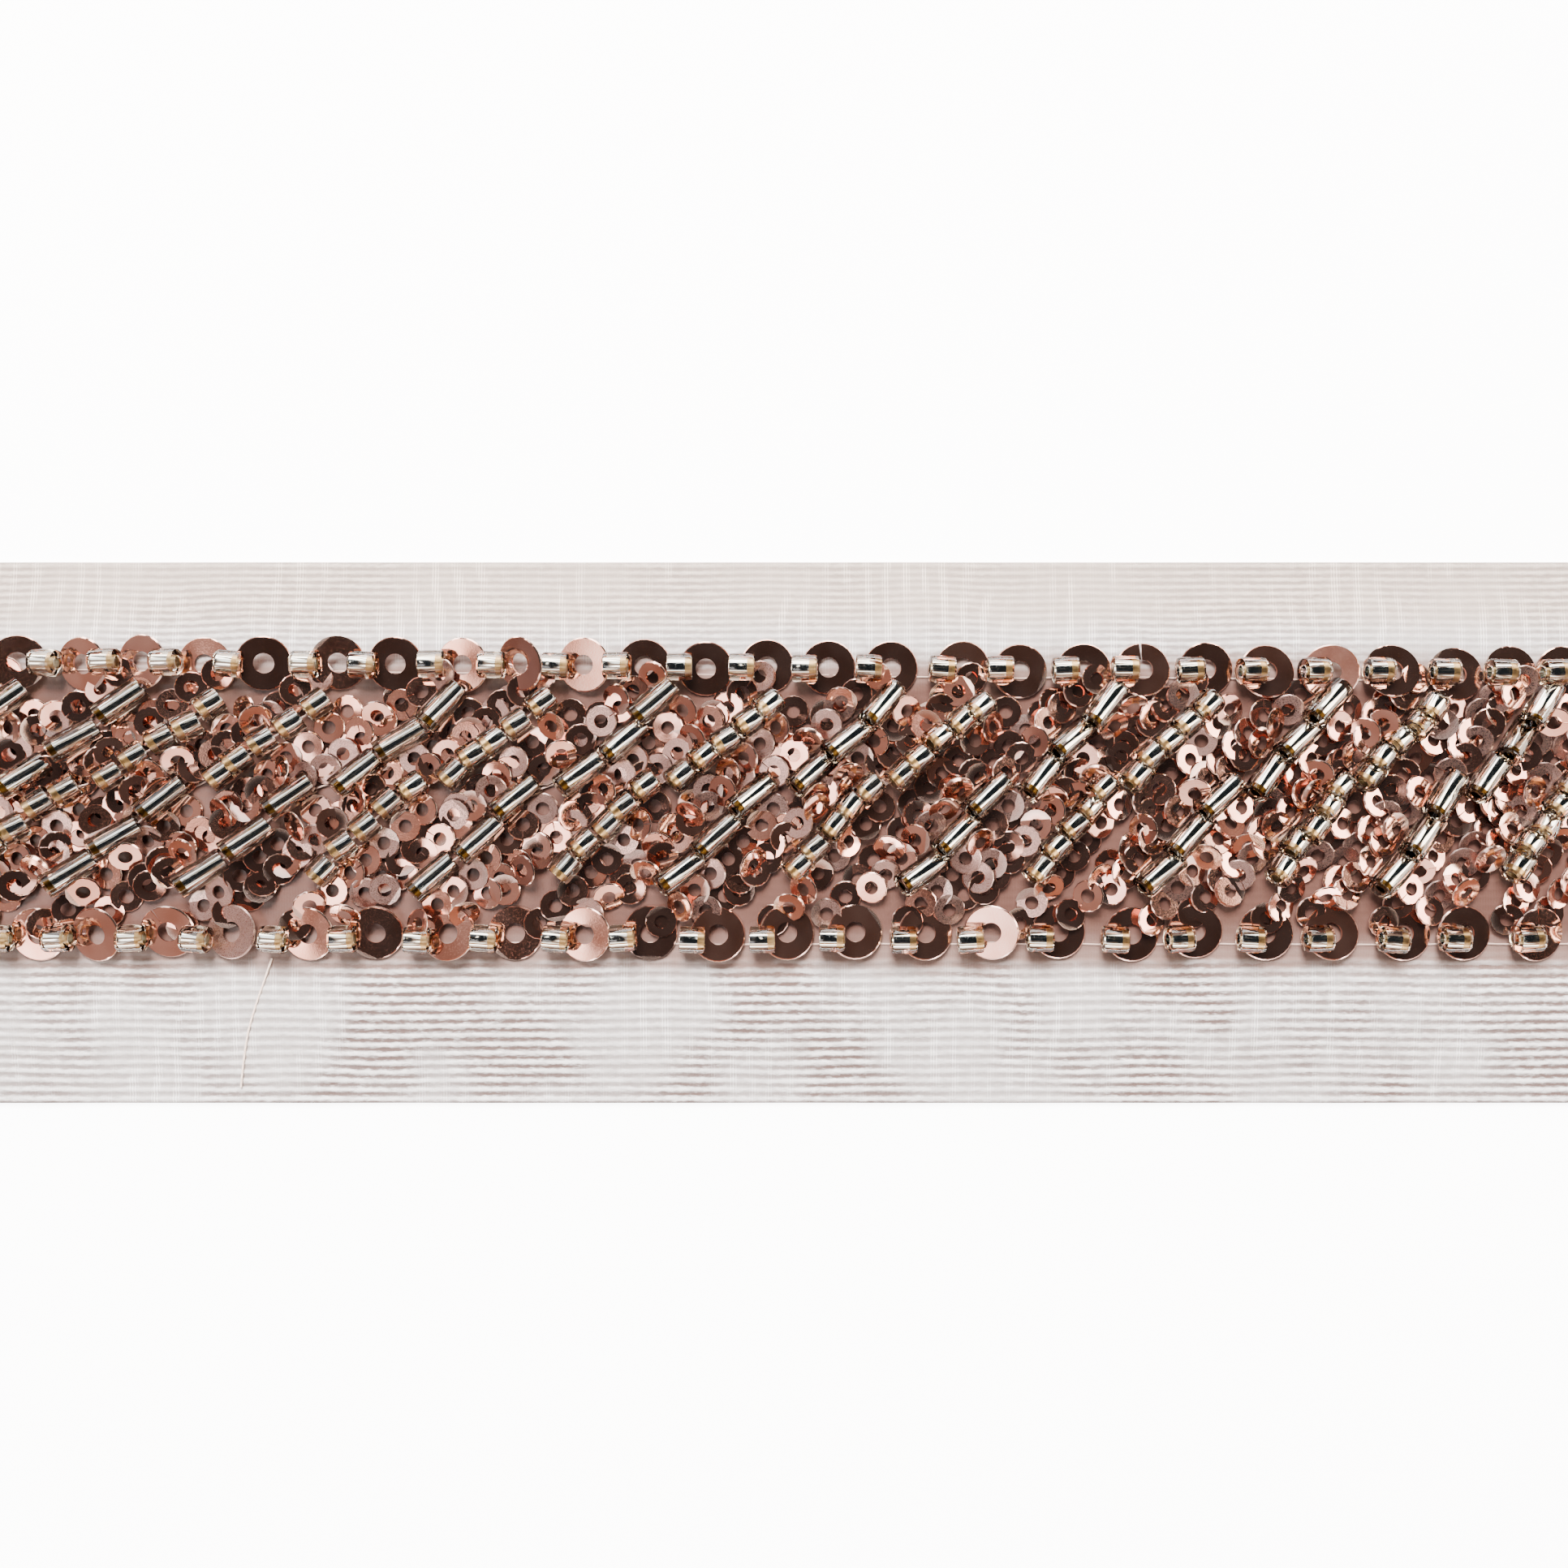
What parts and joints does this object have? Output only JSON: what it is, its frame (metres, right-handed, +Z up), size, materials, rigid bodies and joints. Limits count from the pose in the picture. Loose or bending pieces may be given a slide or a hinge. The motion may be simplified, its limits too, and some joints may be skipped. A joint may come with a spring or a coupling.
{
  "type": "sequin trim",
  "caption": "Flat length of sheer ribbed trimming tape with slanted rows of glass beads and small sequins between two borders of large sequins.",
  "frame": {"origin": "middle of the tape's underside", "axes": "+X along the tape, +Y across it towards the edge that the beadwork is nearer to, +Z up out of the beaded face"},
  "size_m": [0.128, 0.04, 0.0036],
  "materials": {
    "organza": "sheer ribbed ivory organza, pearly, with a blush tone under the beadwork",
    "large_sequins": "rose-gold mirror film, flat, finely scratched",
    "small_sequins": "rose-gold mirror film, flat, finely scratched",
    "bead_glass": "clear champagne glass, polished",
    "bead_silver": "silver lining seen through the glass",
    "thread": "fine sewing thread, matt"
  },
  "bodies": {
    "root": {"ground_cloth": "organza", "border_upper": "large_sequins", "border_lower": "large_sequins", "bead_run_01": "bead_glass", "bead_run_02": "bead_glass", "bead_run_03": "bead_glass", "bead_run_04": "bead_glass", "bead_run_05": "bead_glass", "bead_run_06": "bead_glass", "bead_run_07": "bead_glass", "bead_run_08": "bead_glass", "bead_run_09": "bead_glass", "bead_run_10": "bead_glass", "bead_run_11": "bead_glass", "bead_run_12": "bead_glass", "bead_run_13": "bead_glass", "bead_run_14": "bead_glass", "bead_run_15": "bead_glass", "bead_run_16": "bead_glass", "bead_run_17": "bead_glass", "sequin_band_01": "small_sequins", "sequin_band_02": "small_sequins", "sequin_band_03": "small_sequins", "sequin_band_04": "small_sequins", "sequin_band_05": "small_sequins", "sequin_band_06": "small_sequins", "sequin_band_07": "small_sequins", "sequin_band_08": "small_sequins", "sequin_band_09": "small_sequins", "sequin_band_10": "small_sequins", "sequin_band_11": "small_sequins", "sequin_band_12": "small_sequins", "sequin_band_13": "small_sequins", "sequin_band_14": "small_sequins", "sequin_band_15": "small_sequins", "sequin_band_16": "small_sequins", "sequin_band_17": "small_sequins"}
  },
  "joints": []
}
